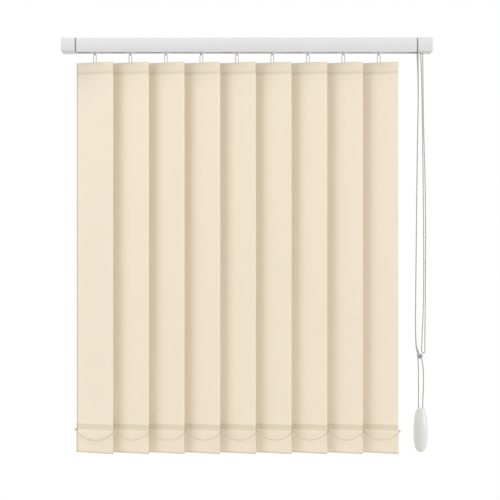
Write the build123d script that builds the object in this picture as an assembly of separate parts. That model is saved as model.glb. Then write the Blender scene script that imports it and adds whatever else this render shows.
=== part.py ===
from build123d import *
import math
import os

# Vertical blind, in millimetres.
# The origin is the centre of the headrail's top face.
# +X runs along the rail towards the controls, -Y faces the room and +Z is up.

# Fits that many pieces share
CLEAR = 0.3
OVERRUN = 6.0

# Headrail, an extruded channel with a slot along its underside
RAIL_LENGTH = 767.0
RAIL_DEPTH = 36.0
RAIL_HEIGHT = 31.3
RAIL_WALL = 1.6
RAIL_SLOT = 15.0
RAIL_CORNER = 2.0
RAIL_BOW = 1.3
RIB_REACH = 3.4
RIB_THICK = 1.5

# End caps
LEFT_CAP_LENGTH = 33.0
RIGHT_CAP_LENGTH = 35.0
CAP_PROUD = 0.8
CAP_WALL = 2.8
CAP_EDGE = 2.6
CAP_LIP = 0.4
GROOVE_WIDTH = 1.4
GROOVE_DEPTH = 1.2
TONGUE_LENGTH = 14.5
TONGUE_WIDTH = 24.0
TONGUE_THICK = 1.8
TONGUE_ROOT = 2.5
BOSS_RADIUS = 4.5
BOSS_LENGTH = 12.0

# Row of vanes
VANE_COUNT = 9
FIRST_VANE_INSET = 41.2
LAST_VANE_INSET = 85.0
STACK_PITCH = 22.0
REST_TILT = 18.0

# Carriers
CARRIER_GAP = 4.0
FOOT_HEIGHT = 4.0
FOOT_SIDE_GAP = 0.6
WAIST_GAP = 0.5
HEAD_SIDE_GAP = 1.8
HEAD_TOP_GAP = 1.2
HEAD_CHAMFER = 2.5
LINK_WIDTH = 5.0
LINK_THICK = 0.4
LINK_LEVELS = 5
LINK_STEP = 0.9
LINK_Y = -10.0
LINK_TAIL = 3.0
LINK_ROOT_GRIP = 1.0

# Tilt rod and the worm drive in each carrier
ROD_RADIUS = 2.2
ROD_Z = -18.0
ROD_END_PLAY = 2.0
FLUTES = 3
FLUTE_WIDTH = 1.2
FLUTE_DEPTH = 0.6
WORM_RADIUS = 3.8
WORM_LENGTH = 12.0
PINION_TIP = 5.2
PINION_ROOT = 4.2
PINION_HEIGHT = 4.0
PINION_TEETH = 12
TOOTH_ROOT_WIDTH = 1.4
TOOTH_TIP_WIDTH = 0.7
STEM_RADIUS = 3.0
STEM_NECK_RADIUS = 2.5
STEM_NECK_LENGTH = 3.0

# Hook at the foot of each stem
HOOK_DROP = 4.5
HOOK_HALF_WIDTH = 4.1
HOOK_BAR = 1.6
HOOK_THICK = 1.2
HOOK_FOOT_HALF = 6.2
HOOK_FOOT_HEIGHT = 2.0

# Vanes
VANE_WIDTH = 90.0
VANE_LENGTH = 881.8
VANE_GAP = 22.2
CLOTH = 0.4
SHEET = 0.6
POCKET_GAP = 1.8
TOP_POCKET = 18.0
TOP_SEAM = 10.5
SEAM_THICK = 1.0
BOTTOM_POCKET = 52.8
BOTTOM_SEAM = 12.5
HANGER_WIDTH = 80.0
HANGER_HEIGHT = 12.0
HANGER_DROP = 2.5
WEIGHT_WIDTH = 85.0
WEIGHT_HEIGHT = 46.8
WEIGHT_INSET = 2.0
WEIGHT_CORNER = 5.0
KNOB_RADIUS = 1.3
KNOB_HEIGHT = 6.5
TAB_HEIGHT = 2.8
CLIP_WALL = 1.0

# Bottom chains
CHAIN_RADIUS = 1.2
CHAIN_SAG = 20.0

# Draw cord, its pulleys and its weight
CORD_RADIUS = 1.3
CORD_GAP = 0.5
CORD_RUN_Z = -7.0
CORD_FRONT_Y = -11.0
CORD_REAR_Y = 1.0
CORD_EXIT_INSET = 2.0
CORD_TURN = 6.5
PULLEY_RIM = 1.0
PULLEY_WIDTH = 5.0
PULLEY_GROOVE = 3.2
PULLEY_GROOVE_GAP = 0.2
PIN_RADIUS = 2.0
PIN_PLAY = 0.1
COLLAR_RADIUS = 3.0
CHEEK_THICK = 1.2
CHEEK_LENGTH = 10.0
CHEEK_DROP = 5.5
RETURN_INSET = 8.5
KNOT_RADIUS = 4.5
KNOT_LENGTH = 5.0
WEIGHT_DROP_LENGTH = 100.0
WEIGHT_DROP_RADIUS = 16.0
WEIGHT_DROP_TOP = (8.7, -5.5, -832.0)
WEIGHT_HOLE_GAP = 0.15
# Outline of the cord weight: radius as a share of the largest, depth as a share of the length
WEIGHT_OUTLINE_SHARES = [(0.66, 0.07), (0.90, 0.26), (1.0, 0.565), (0.94, 0.76), (0.78, 0.89), (0.48, 0.975)]
WEIGHT_TOP_SHARE = 0.42

# Tilt chain and its sprocket
TILT_CHAIN_RADIUS = 1.6
BEAD_PITCH = 4.4
SPROCKET_POCKETS = 7
SPROCKET_RIM_WIDTH = 1.5
SPROCKET_RIM = 1.6
SPROCKET_SIDE_GAP = 0.8
SPROCKET_INSET = 13.1
CHAIN_SPLAY = 3.0
CHAIN_HOLE_GAP = 1.6

# Routes of the free cords below their exits, hung by eye, with X counted from the rail's control end
FRONT_STRAND = [
    (3.1, -10.9, -105.0),
    (1.9, -10.5, -185.0),
    (0.0, -9.9, -310.0),
    (-1.3, -9.2, -440.0),
    (-2.8, -8.5, -570.0),
    (-3.4, -7.6, -688.0),
    (1.5, -7.2, -708.0),
    (3.6, -6.6, -735.0),
    (3.9, -5.9, -780.0),
    (4.1, -5.5, -815.0),
    (4.1, -5.5, -876.0),
]
REAR_STRAND = [
    (4.7, 0.9, -105.0),
    (3.4, 0.5, -185.0),
    (1.3, -0.2, -310.0),
    (-0.2, -1.2, -440.0),
    (-1.9, -2.4, -570.0),
    (-2.7, -3.6, -688.0),
    (4.0, -4.4, -708.0),
    (12.6, -4.9, -724.0),
    (15.4, -5.2, -752.0),
    (15.3, -5.4, -792.0),
    (13.1, -5.5, -818.0),
    (13.0, -5.5, -876.0),
]
TILT_LOOP = [
    (12.6, 4.5, -85.0),
    (13.8, 4.9, -165.0),
    (15.8, 5.6, -290.0),
    (17.2, 6.5, -430.0),
    (17.7, 7.3, -560.0),
    (16.2, 7.9, -625.0),
    (14.4, 8.2, -665.0),
    (13.4, 8.3, -688.0),
    (13.1, 8.4, -701.0),
    (13.2, 8.5, -707.5),
    (15.3, 8.7, -710.5),
    (18.5, 8.9, -710.5),
    (20.6, 9.1, -707.5),
    (20.7, 9.2, -701.0),
    (20.5, 9.3, -688.0),
    (20.7, 9.5, -665.0),
    (21.3, 9.9, -625.0),
    (22.0, 10.6, -555.0),
    (22.8, 11.6, -430.0),
    (21.6, 12.6, -310.0),
    (17.6, 13.4, -185.0),
    (16.9, 13.9, -90.0),
]

QUARTER_TURN = 90.0
FULL_TURN = 360.0
ARC_SHARE = 0.45

# Places that follow from the sizes above
CARRIER_LENGTH = STACK_PITCH - CARRIER_GAP
RAIL_INNER_Y = RAIL_DEPTH / 2 - RAIL_WALL
RAIL_FLOOR_Z = -RAIL_HEIGHT + RAIL_WALL
RAIL_END_X = RAIL_LENGTH / 2
LAST_VANE_X = RAIL_END_X - LAST_VANE_INSET
VANE_PITCH = (RAIL_LENGTH - FIRST_VANE_INSET - LAST_VANE_INSET) / (VANE_COUNT - 1)
FOOT_LOW_Z = RAIL_FLOOR_Z + CLEAR
FOOT_TOP_Z = FOOT_LOW_Z + FOOT_HEIGHT
RIB_LOW_Z = FOOT_TOP_Z + CLEAR
RIB_TOP_Z = RIB_LOW_Z + RIB_THICK
FOOT_HALF = RAIL_INNER_Y - FOOT_SIDE_GAP
WAIST_HALF = RAIL_INNER_Y - RIB_REACH - WAIST_GAP
HEAD_HALF = RAIL_INNER_Y - HEAD_SIDE_GAP
HEAD_TOP_Z = -RAIL_WALL - HEAD_TOP_GAP
ROD_Y = PINION_TIP + CLEAR + WORM_RADIUS
PINION_LOW_Z = ROD_Z - PINION_HEIGHT / 2
PINION_TOP_Z = ROD_Z + PINION_HEIGHT / 2
HOOK_TOP_Z = -RAIL_HEIGHT - HOOK_DROP
VANE_TOP_Z = -RAIL_HEIGHT - VANE_GAP
VANE_LOW_Z = VANE_TOP_Z - VANE_LENGTH
HANGER_TOP_Z = VANE_TOP_Z - HANGER_DROP
FOOT_BAR_TOP_Z = HANGER_TOP_Z - HANGER_HEIGHT / 2
HANGER_THICK = POCKET_GAP - 2 * CLEAR
WEIGHT_TOP_Z = VANE_LOW_Z + BOTTOM_POCKET - WEIGHT_INSET
KNOB_LOW_Z = WEIGHT_TOP_Z - TAB_HEIGHT
CLIP_BORE = KNOB_RADIUS + CLEAR
CLIP_RADIUS = CLIP_BORE + CLIP_WALL
KNOB_REACH = VANE_WIDTH / 2 + CLEAR + CLIP_RADIUS
CLIP_Z = WEIGHT_TOP_Z + CLEAR + CHAIN_RADIUS
CHAIN_STAND_OFF = CLIP_BORE + CHAIN_RADIUS + WEIGHT_HOLE_GAP
CAP_DEPTH = RAIL_DEPTH + 2 * CAP_PROUD
TONGUE_TOP_Z = -RAIL_WALL - CLEAR
CORD_EXIT_X = RAIL_END_X + CORD_EXIT_INSET
CORD_EXIT_Z = -RAIL_HEIGHT - CAP_PROUD
PULLEY_X = CORD_EXIT_X - CORD_TURN
PULLEY_Z = CORD_RUN_Z - CORD_TURN
PULLEY_FLOOR = CORD_TURN - CORD_RADIUS - PULLEY_GROOVE_GAP
RETURN_X = -RAIL_END_X - RETURN_INSET
RETURN_TURN = (CORD_REAR_Y - CORD_FRONT_Y) / 2
SPROCKET_PITCH = SPROCKET_POCKETS * BEAD_PITCH / (2 * math.pi)
SPROCKET_X = RAIL_END_X + SPROCKET_INSET
FRONT_EXIT = (CORD_EXIT_X, CORD_FRONT_Y, CORD_EXIT_Z)
REAR_EXIT = (CORD_EXIT_X, CORD_REAR_Y, CORD_EXIT_Z)
CHAIN_FRONT_EXIT = (SPROCKET_X - CHAIN_SPLAY, ROD_Y - SPROCKET_PITCH, CORD_EXIT_Z)
CHAIN_REAR_EXIT = (SPROCKET_X + CHAIN_SPLAY, ROD_Y + SPROCKET_PITCH, CORD_EXIT_Z)
FRONT_ROUTE = [FRONT_EXIT] + [(RAIL_END_X + x, y, z) for x, y, z in FRONT_STRAND]
REAR_ROUTE = [REAR_EXIT] + [(RAIL_END_X + x, y, z) for x, y, z in REAR_STRAND]
LOOP_ROUTE = [(RAIL_END_X + x, y, z) for x, y, z in TILT_LOOP]
TILT_ROUTE = [CHAIN_FRONT_EXIT] + LOOP_ROUTE + [CHAIN_REAR_EXIT]
DROP_X, DROP_Y, DROP_Z = WEIGHT_DROP_TOP


def hinge_x(number):
    """X of a vane's turning axis, counted from 1 at the far end to the last at the controls."""
    return LAST_VANE_X - (VANE_COUNT - number) * VANE_PITCH


def on_vane(number, shape):
    """Shape made about the Z axis with the vane's width along X, set in the place of one vane."""
    return Pos(hinge_x(number), 0, 0) * Rot(0, 0, -REST_TILT) * shape


def span_box(x_span, y_span, z_span):
    """Box that fills three spans."""
    spans = (x_span, y_span, z_span)
    middle = [(low + high) / 2 for low, high in spans]
    size = [high - low for low, high in spans]
    return Pos(*middle) * Box(*size)


def bar_x(x_span, y, z, radius):
    """Round bar along X."""
    low, high = x_span
    return Pos((low + high) / 2, y, z) * Rot(0, QUARTER_TURN, 0) * Cylinder(radius, high - low)


def bar_y(x, y_span, z, radius):
    """Round bar along Y."""
    low, high = y_span
    return Pos(x, (low + high) / 2, z) * Rot(QUARTER_TURN, 0, 0) * Cylinder(radius, high - low)


def bar_z(x, y, z_span, radius):
    """Round bar along Z."""
    low, high = z_span
    return Pos(x, y, (low + high) / 2) * Cylinder(radius, high - low)


def corner_radii(points):
    """Largest arc at each corner of a route that its two runs allow."""
    radii = []
    for before, here, after in zip(points, points[1:], points[2:]):
        run_in = Vector(*here) - Vector(*before)
        run_out = Vector(*after) - Vector(*here)
        half_turn = math.radians(run_in.get_angle(run_out)) / 2
        radii.append(ARC_SHARE * min(run_in.length, run_out.length) / math.tan(half_turn))
    return radii


def tube(points, radii, radius):
    """Round tube along straight runs joined by tangent arcs."""
    path = FilletPolyline(*points, radius=radii)
    end = Plane(origin=path @ 0, z_dir=path % 0)
    solid = sweep(end * Circle(radius), path=path)
    print("tube volume over section times length", solid.volume / (math.pi * radius**2 * path.length))
    return solid


def hanging_tube(points, radius):
    """Free cord with the arcs that its own route allows."""
    radii = corner_radii(points)
    print("cord radii", [round(value) for value in radii])
    return tube(points, radii, radius)


def bowed_section(half_depth, z_span, corner):
    """Section across the rail or a cap, with its front and back bowed outwards."""
    low, high = z_span
    middle = (low + high) / 2
    front = ThreePointArc((-half_depth, high), (-half_depth - RAIL_BOW, middle), (-half_depth, low))
    back = ThreePointArc((half_depth, low), (half_depth + RAIL_BOW, middle), (half_depth, high))
    sides = front + Line(front @ 1, back @ 0) + back + Line(back @ 1, front @ 0)
    section = make_face(sides)
    return fillet(section.vertices(), corner) if corner else section


def headrail():
    """Channel with an open slot below and a rib on each side that keeps the carriers down."""
    section = bowed_section(RAIL_DEPTH / 2, (-RAIL_HEIGHT, 0), RAIL_CORNER)
    section -= bowed_section(RAIL_INNER_Y, (RAIL_FLOOR_Z, -RAIL_WALL), 0)
    section -= Pos(0, RAIL_FLOOR_Z) * Rectangle(RAIL_SLOT, 4 * RAIL_WALL)
    rib_width = RIB_REACH + RAIL_WALL
    for side in (-1, 1):
        rib_middle = side * (RAIL_INNER_Y - RIB_REACH + rib_width / 2)
        section += Pos(rib_middle, RIB_LOW_Z + RIB_THICK / 2) * Rectangle(rib_width, RIB_THICK)
    return extrude(Plane.YZ * section, RAIL_LENGTH / 2, both=True)


def cap_shell(side, length):
    """Hollow moulded cap on one rail end, with the tongue that plugs into the rail."""
    face_x = side * RAIL_END_X
    end_x = face_x + side * length
    lip_x = face_x + side * GROOVE_WIDTH
    z_span = (-RAIL_HEIGHT - CAP_PROUD, CAP_PROUD)
    outline = bowed_section(CAP_DEPTH / 2, z_span, RAIL_CORNER + CAP_PROUD)
    body = extrude(Plane.YZ.offset(lip_x) * outline, end_x - lip_x)
    outer_end, inner_end = (-1, 0) if side > 0 else (0, -1)
    body = fillet(body.faces().sort_by(Axis.X)[outer_end].edges(), CAP_EDGE)
    body = chamfer(body.faces().sort_by(Axis.X)[inner_end].edges(), CAP_LIP)
    neck_z = (-RAIL_HEIGHT + GROOVE_DEPTH, -GROOVE_DEPTH)
    neck = bowed_section(RAIL_DEPTH / 2 - GROOVE_DEPTH, neck_z, 0)
    body += extrude(Plane.YZ.offset(face_x) * neck, lip_x - face_x + side * CAP_WALL)
    hollow_x = sorted((face_x - side * OVERRUN, end_x - side * CAP_WALL))
    hollow_y = CAP_DEPTH / 2 - CAP_WALL
    body -= span_box(hollow_x, (-hollow_y, hollow_y), (z_span[0] + CAP_WALL, z_span[1] - CAP_WALL))
    tongue_y = (-TONGUE_WIDTH / 2, TONGUE_WIDTH / 2)
    tongue_x = sorted((face_x - side * TONGUE_LENGTH, face_x + side * TONGUE_ROOT))
    body += span_box(tongue_x, tongue_y, (TONGUE_TOP_Z - TONGUE_THICK, TONGUE_TOP_Z))
    root_x = sorted((face_x, face_x + side * TONGUE_ROOT))
    body += span_box(root_x, tongue_y, (TONGUE_TOP_Z - TONGUE_THICK, CAP_PROUD - CAP_WALL + CLEAR))
    wall_x = end_x - side * CAP_WALL
    boss_x = sorted((wall_x - side * BOSS_LENGTH, wall_x + side * CLEAR))
    body += bar_x(boss_x, ROD_Y, ROD_Z, BOSS_RADIUS)
    bore_x = sorted((wall_x - side * (BOSS_LENGTH + OVERRUN), wall_x))
    body -= bar_x(bore_x, ROD_Y, ROD_Z, ROD_RADIUS + CLEAR)
    return body


def left_end_cap():
    """Cap with the round post that the draw cord returns on."""
    post_z = (CORD_RUN_Z - 2 * CORD_RADIUS, CAP_PROUD - CAP_WALL / 2)
    post_radius = RETURN_TURN - CORD_RADIUS - PULLEY_GROOVE_GAP
    post = bar_z(RETURN_X, (CORD_FRONT_Y + CORD_REAR_Y) / 2, post_z, post_radius)
    return cap_shell(-1, LEFT_CAP_LENGTH) + post


def right_end_cap():
    """Control housing with the pulley pin between two cheeks and the exits for cord and chain."""
    body = cap_shell(1, RIGHT_CAP_LENGTH)
    front = CORD_FRONT_Y - PULLEY_WIDTH / 2 - CLEAR
    rear = CORD_REAR_Y + PULLEY_WIDTH / 2 + CLEAR
    cheek_x = (PULLEY_X - CHEEK_LENGTH / 2, PULLEY_X + CHEEK_LENGTH / 2)
    cheek_z = (PULLEY_Z - CHEEK_DROP, TONGUE_TOP_Z)
    body += span_box(cheek_x, (front - CHEEK_THICK, front), cheek_z)
    body += span_box(cheek_x, (rear, rear + CHEEK_THICK), cheek_z)
    body += bar_y(PULLEY_X, (front - CHEEK_THICK, rear + CHEEK_THICK), PULLEY_Z, PIN_RADIUS)
    collar_y = (CORD_FRONT_Y + PULLEY_WIDTH / 2 + CLEAR, CORD_REAR_Y - PULLEY_WIDTH / 2 - CLEAR)
    body += bar_y(PULLEY_X, collar_y, PULLEY_Z, COLLAR_RADIUS)
    floor_z = (CORD_EXIT_Z - OVERRUN, CORD_EXIT_Z + CAP_WALL + CLEAR)
    notch = CORD_RADIUS + CORD_GAP
    for strand_y in (CORD_FRONT_Y, CORD_REAR_Y):
        notch_x = (RAIL_END_X - OVERRUN, CORD_EXIT_X + notch)
        body -= span_box(notch_x, (strand_y - notch, strand_y + notch), floor_z)
    for x, y, _ in (CHAIN_FRONT_EXIT, CHAIN_REAR_EXIT):
        body -= bar_z(x, y, floor_z, TILT_CHAIN_RADIUS + CHAIN_HOLE_GAP)
    return body


def cord_pulley(middle_y):
    """Grooved wheel that turns the draw cord down out of the rail."""
    half = PULLEY_WIDTH / 2
    groove = PULLEY_GROOVE / 2
    wheel = bar_y(PULLEY_X, (middle_y - half, middle_y + half), PULLEY_Z, CORD_TURN + PULLEY_RIM)
    groove_span = (middle_y - groove, middle_y + groove)
    wheel -= bar_y(PULLEY_X, groove_span, PULLEY_Z, CORD_TURN + OVERRUN)
    wheel += bar_y(PULLEY_X, groove_span, PULLEY_Z, PULLEY_FLOOR)
    bore_span = (middle_y - PULLEY_WIDTH, middle_y + PULLEY_WIDTH)
    return wheel - bar_y(PULLEY_X, bore_span, PULLEY_Z, PIN_RADIUS + PIN_PLAY)


def fluted_section(radius, flute_width, flute_floor, outward):
    """Round section with flutes cut into it, or with the keys of a bore left standing in it."""
    section = Circle(radius)
    depth = radius - flute_floor
    for number in range(FLUTES):
        turn = Rot(0, 0, number * FULL_TURN / FLUTES)
        if outward:
            section -= turn * Pos(radius, 0) * Rectangle(2 * depth, flute_width)
        else:
            section -= turn * Pos(radius - depth / 2, 0) * Rectangle(depth + CLEAR, flute_width)
    return section


def tilt_rod():
    """Fluted rod that reaches from the boss of one cap to that of the other."""
    low = -RAIL_END_X - LEFT_CAP_LENGTH + CAP_WALL + ROD_END_PLAY
    high = RAIL_END_X + RIGHT_CAP_LENGTH - CAP_WALL - ROD_END_PLAY
    section = fluted_section(ROD_RADIUS, FLUTE_WIDTH, ROD_RADIUS - FLUTE_DEPTH, True)
    start = Plane.YZ.offset(low)
    rod = extrude(start * section, high - low)
    return Pos(0, ROD_Y, ROD_Z) * rod


def worm(number):
    """Worm that rides on the rod inside one carrier, keyed in the rod's flutes."""
    core = Circle(WORM_RADIUS)
    key_tip = ROD_RADIUS - FLUTE_DEPTH + CLEAR
    bore = fluted_section(ROD_RADIUS + CLEAR, FLUTE_WIDTH - 2 * CLEAR, key_tip, False)
    plane = Plane.YZ.offset(hinge_x(number))
    return Pos(0, ROD_Y, ROD_Z) * extrude(plane * (core - bore), WORM_LENGTH / 2, both=True)


def chain_sprocket():
    """Spool on the end of the rod that the tilt chain runs over."""
    half = TILT_CHAIN_RADIUS + SPROCKET_SIDE_GAP
    outer = half + SPROCKET_RIM_WIDTH
    core = SPROCKET_PITCH - TILT_CHAIN_RADIUS - CLEAR
    spool = bar_x((SPROCKET_X - outer, SPROCKET_X + outer), ROD_Y, ROD_Z, SPROCKET_PITCH + SPROCKET_RIM)
    groove_x = (SPROCKET_X - half, SPROCKET_X + half)
    spool -= bar_x(groove_x, ROD_Y, ROD_Z, SPROCKET_PITCH + OVERRUN)
    spool += bar_x(groove_x, ROD_Y, ROD_Z, core)
    return spool - bar_x((SPROCKET_X - OVERRUN, SPROCKET_X + OVERRUN), ROD_Y, ROD_Z, ROD_RADIUS)


def link_z(number):
    """Height of a carrier's spacer strip; neighbours lie at different heights and slide past each other."""
    lowest = ROD_Z - (LINK_LEVELS - 1) * LINK_STEP / 2
    return lowest + (number % LINK_LEVELS) * LINK_STEP


def carrier(number):
    """Moulded runner with bores for rod, worm, stem and cord, and a spacer strip to the next runner."""
    x = hinge_x(number)
    right = [
        (FOOT_HALF, FOOT_LOW_Z),
        (FOOT_HALF, FOOT_TOP_Z),
        (WAIST_HALF, FOOT_TOP_Z),
        (WAIST_HALF, RIB_TOP_Z + CLEAR),
        (HEAD_HALF, RIB_TOP_Z + CLEAR),
        (HEAD_HALF, HEAD_TOP_Z - HEAD_CHAMFER),
        (HEAD_HALF - HEAD_CHAMFER, HEAD_TOP_Z),
    ]
    left = [(-y, z) for y, z in reversed(right)]
    outline = make_face(Polyline(*right, *left, close=True))
    body = extrude(Plane.YZ.offset(x) * outline, CARRIER_LENGTH / 2, both=True)
    through = (x - CARRIER_LENGTH, x + CARRIER_LENGTH)
    pocket = (x - WORM_LENGTH / 2 - CLEAR, x + WORM_LENGTH / 2 + CLEAR)
    body -= bar_x(through, ROD_Y, ROD_Z, ROD_RADIUS + CLEAR)
    body -= bar_x(pocket, ROD_Y, ROD_Z, WORM_RADIUS + CLEAR)
    body -= bar_z(x, 0, (PINION_LOW_Z - CLEAR, PINION_TOP_Z + CLEAR), PINION_TIP + CLEAR)
    body -= bar_z(x, 0, (FOOT_LOW_Z - OVERRUN, ROD_Z), STEM_RADIUS + CLEAR)
    body -= bar_z(x, 0, (ROD_Z, PINION_TOP_Z + STEM_NECK_LENGTH + CLEAR), STEM_NECK_RADIUS + CLEAR)
    for strand_y in (CORD_FRONT_Y, CORD_REAR_Y):
        body -= bar_x(through, strand_y, CORD_RUN_Z, CORD_RADIUS + CORD_GAP)
    slot_half = LINK_LEVELS * LINK_STEP / 2 + CLEAR
    slot_y = (LINK_Y - LINK_WIDTH / 2 - CLEAR, LINK_Y + LINK_WIDTH / 2 + CLEAR)
    body -= span_box(through, slot_y, (ROD_Z - slot_half, ROD_Z + slot_half))
    if number > 1:
        z_span = (link_z(number) - LINK_THICK / 2, link_z(number) + LINK_THICK / 2)
        strip_x = (x - VANE_PITCH - CARRIER_LENGTH / 2 - LINK_TAIL, x + CARRIER_LENGTH / 2)
        body += span_box(strip_x, (LINK_Y - LINK_WIDTH / 2, LINK_Y + LINK_WIDTH / 2), z_span)
        root_y = (slot_y[0] - LINK_ROOT_GRIP, slot_y[1] + LINK_ROOT_GRIP)
        body += span_box((x, x + CARRIER_LENGTH / 2), root_y, z_span)
    return body


def pinion():
    """Worm wheel on the stem."""
    section = Circle(PINION_ROOT)
    tooth = [
        (PINION_ROOT - TOOTH_TIP_WIDTH, -TOOTH_ROOT_WIDTH / 2),
        (PINION_TIP, -TOOTH_TIP_WIDTH / 2),
        (PINION_TIP, TOOTH_TIP_WIDTH / 2),
        (PINION_ROOT - TOOTH_TIP_WIDTH, TOOTH_ROOT_WIDTH / 2),
    ]
    for number in range(PINION_TEETH):
        turn = Rot(0, 0, number * FULL_TURN / PINION_TEETH)
        section += turn * make_face(Polyline(*tooth, close=True))
    return Pos(0, 0, PINION_LOW_Z) * extrude(section, PINION_HEIGHT)


def stem(number):
    """Stem with its worm wheel above and the flat stirrup hook that carries the hanger below."""
    body = pinion()
    body += bar_z(0, 0, (PINION_TOP_Z - CLEAR, PINION_TOP_Z + STEM_NECK_LENGTH), STEM_NECK_RADIUS)
    body += bar_z(0, 0, (HOOK_TOP_Z - HOOK_BAR / 2, PINION_LOW_Z + CLEAR), STEM_RADIUS)
    arch_z = HOOK_TOP_Z - HOOK_HALF_WIDTH
    leg_low = FOOT_BAR_TOP_Z - HOOK_FOOT_HEIGHT
    leg_length = arch_z - leg_low
    inner_half = HOOK_HALF_WIDTH - HOOK_BAR
    legs = Pos(0, arch_z - leg_length / 2)
    outline = Pos(0, arch_z) * Circle(HOOK_HALF_WIDTH) + legs * Rectangle(2 * HOOK_HALF_WIDTH, leg_length)
    outline -= Pos(0, arch_z) * Circle(inner_half) + legs * Rectangle(2 * inner_half, leg_length)
    foot = Pos(0, FOOT_BAR_TOP_Z - HOOK_FOOT_HEIGHT / 2)
    outline += foot * Rectangle(2 * HOOK_FOOT_HALF, HOOK_FOOT_HEIGHT)
    body += extrude(Plane.XZ * outline, HOOK_THICK / 2, both=True)
    return on_vane(number, body)


def pocket_section(top_z, height):
    """Section of a flat cloth loop."""
    middle = Pos(0, top_z - height / 2)
    outer_width = POCKET_GAP + 2 * CLOTH
    loop = middle * RectangleRounded(outer_width, height, outer_width / 2 - CLOTH / 4)
    return loop - middle * RectangleRounded(POCKET_GAP, height - 2 * CLOTH, POCKET_GAP / 2 - CLOTH / 4)


def vane(number):
    """Cloth vane with a sewn pocket at its top and a deeper one at its foot."""
    top_low = VANE_TOP_Z - TOP_POCKET
    bottom_high = VANE_LOW_Z + BOTTOM_POCKET
    sheet_height = top_low - bottom_high + 2 * CLOTH
    section = pocket_section(VANE_TOP_Z, TOP_POCKET) + pocket_section(bottom_high, BOTTOM_POCKET)
    section += Pos(0, (top_low + bottom_high) / 2) * Rectangle(SHEET, sheet_height)
    section += Pos(0, top_low - TOP_SEAM / 2 + CLOTH / 2) * Rectangle(SEAM_THICK, TOP_SEAM + CLOTH)
    section += Pos(0, bottom_high + BOTTOM_SEAM / 2 - CLOTH / 2) * Rectangle(SEAM_THICK, BOTTOM_SEAM + CLOTH)
    body = extrude(Plane.YZ * section, VANE_WIDTH / 2, both=True)
    mouth = HOOK_HALF_WIDTH + CLEAR
    mouth_y = HOOK_THICK / 2 + CLEAR
    body -= span_box((-mouth, mouth), (-mouth_y, mouth_y), (VANE_TOP_Z - HANGER_DROP, VANE_TOP_Z + OVERRUN))
    return on_vane(number, body)


def hanger_and_weight(number):
    """Stiff hanger that rests on the hook's foot, and the weight plate with a chain knob at each end."""
    plate = Pos(0, HANGER_TOP_Z - HANGER_HEIGHT / 2) * Rectangle(HANGER_WIDTH, HANGER_HEIGHT)
    lug_z = FOOT_BAR_TOP_Z + CLEAR
    seat_low = FOOT_BAR_TOP_Z - HOOK_FOOT_HEIGHT - CLEAR
    neck_half = HOOK_HALF_WIDTH + CLEAR
    seat_half = HOOK_FOOT_HALF + CLEAR
    plate -= Pos(0, (lug_z + seat_low) / 2) * Rectangle(2 * seat_half, lug_z - seat_low)
    plate -= Pos(0, HANGER_TOP_Z - HANGER_HEIGHT / 4) * Rectangle(2 * neck_half, HANGER_HEIGHT / 2 + CLEAR)
    hanger = extrude(Plane.XZ * plate, HANGER_THICK / 2, both=True)
    middle = Pos(0, WEIGHT_TOP_Z - WEIGHT_HEIGHT / 2)
    slab = middle * RectangleRounded(WEIGHT_WIDTH, WEIGHT_HEIGHT, WEIGHT_CORNER)
    slab += Pos(0, WEIGHT_TOP_Z - TAB_HEIGHT / 2) * Rectangle(2 * KNOB_REACH, TAB_HEIGHT)
    weight = extrude(Plane.XZ * slab, HANGER_THICK / 2, both=True)
    for side in (-1, 1):
        weight += bar_z(side * KNOB_REACH, 0, (KNOB_LOW_Z, KNOB_LOW_Z + KNOB_HEIGHT), KNOB_RADIUS)
    return on_vane(number, Compound([hanger, weight]))


def chain_arc(start, end):
    """One stretch of chain that sags between two points at the same height."""
    lowest = [(a + b) / 2 for a, b in zip(start, end)]
    lowest[2] -= CHAIN_SAG
    path = ThreePointArc(start, tuple(lowest), end)
    plane = Plane(origin=path @ 0, z_dir=path % 0)
    return sweep(plane * Circle(CHAIN_RADIUS), path=path)


def bottom_chain(side):
    """Chain along one edge of all the vanes, with a clip ring on each knob; side 1 is the room's."""
    tilt = math.radians(REST_TILT)
    knobs = []
    for number in range(1, VANE_COUNT + 1):
        reach = side * KNOB_REACH
        knobs.append((hinge_x(number) + reach * math.cos(tilt), -reach * math.sin(tilt)))
    chain = None
    for x, y in knobs:
        z_span = (CLIP_Z - CHAIN_RADIUS, CLIP_Z + CHAIN_RADIUS)
        ring = bar_z(x, y, z_span, CLIP_RADIUS)
        ring -= bar_z(x, y, (z_span[0] - OVERRUN, z_span[1] + OVERRUN), CLIP_BORE)
        chain = ring if chain is None else chain + ring
    for here, after in zip(knobs, knobs[1:]):
        line_y = here[1] - side * CHAIN_STAND_OFF
        chain += chain_arc((here[0], line_y, CLIP_Z), (after[0], line_y, CLIP_Z))
    return chain


def end_chain():
    """Last stretch of chain across the front of the first vane, from knob to knob."""
    z = KNOB_LOW_Z + CHAIN_RADIUS
    y = -KNOB_RADIUS - CLEAR - CHAIN_RADIUS
    return on_vane(1, chain_arc((-KNOB_REACH, y, z), (KNOB_REACH, y, z)))


def draw_cord_inner():
    """Cord inside the rail: in over one pulley, round the far post and out over the other pulley."""
    far_x = RETURN_X - RETURN_TURN
    points = [
        FRONT_EXIT,
        (CORD_EXIT_X, CORD_FRONT_Y, CORD_RUN_Z),
        (far_x, CORD_FRONT_Y, CORD_RUN_Z),
        (far_x, CORD_REAR_Y, CORD_RUN_Z),
        (CORD_EXIT_X, CORD_REAR_Y, CORD_RUN_Z),
        REAR_EXIT,
    ]
    return_radius = RETURN_TURN - PULLEY_GROOVE_GAP / 2
    return tube(points, [CORD_TURN, return_radius, return_radius, CORD_TURN], CORD_RADIUS)


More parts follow.
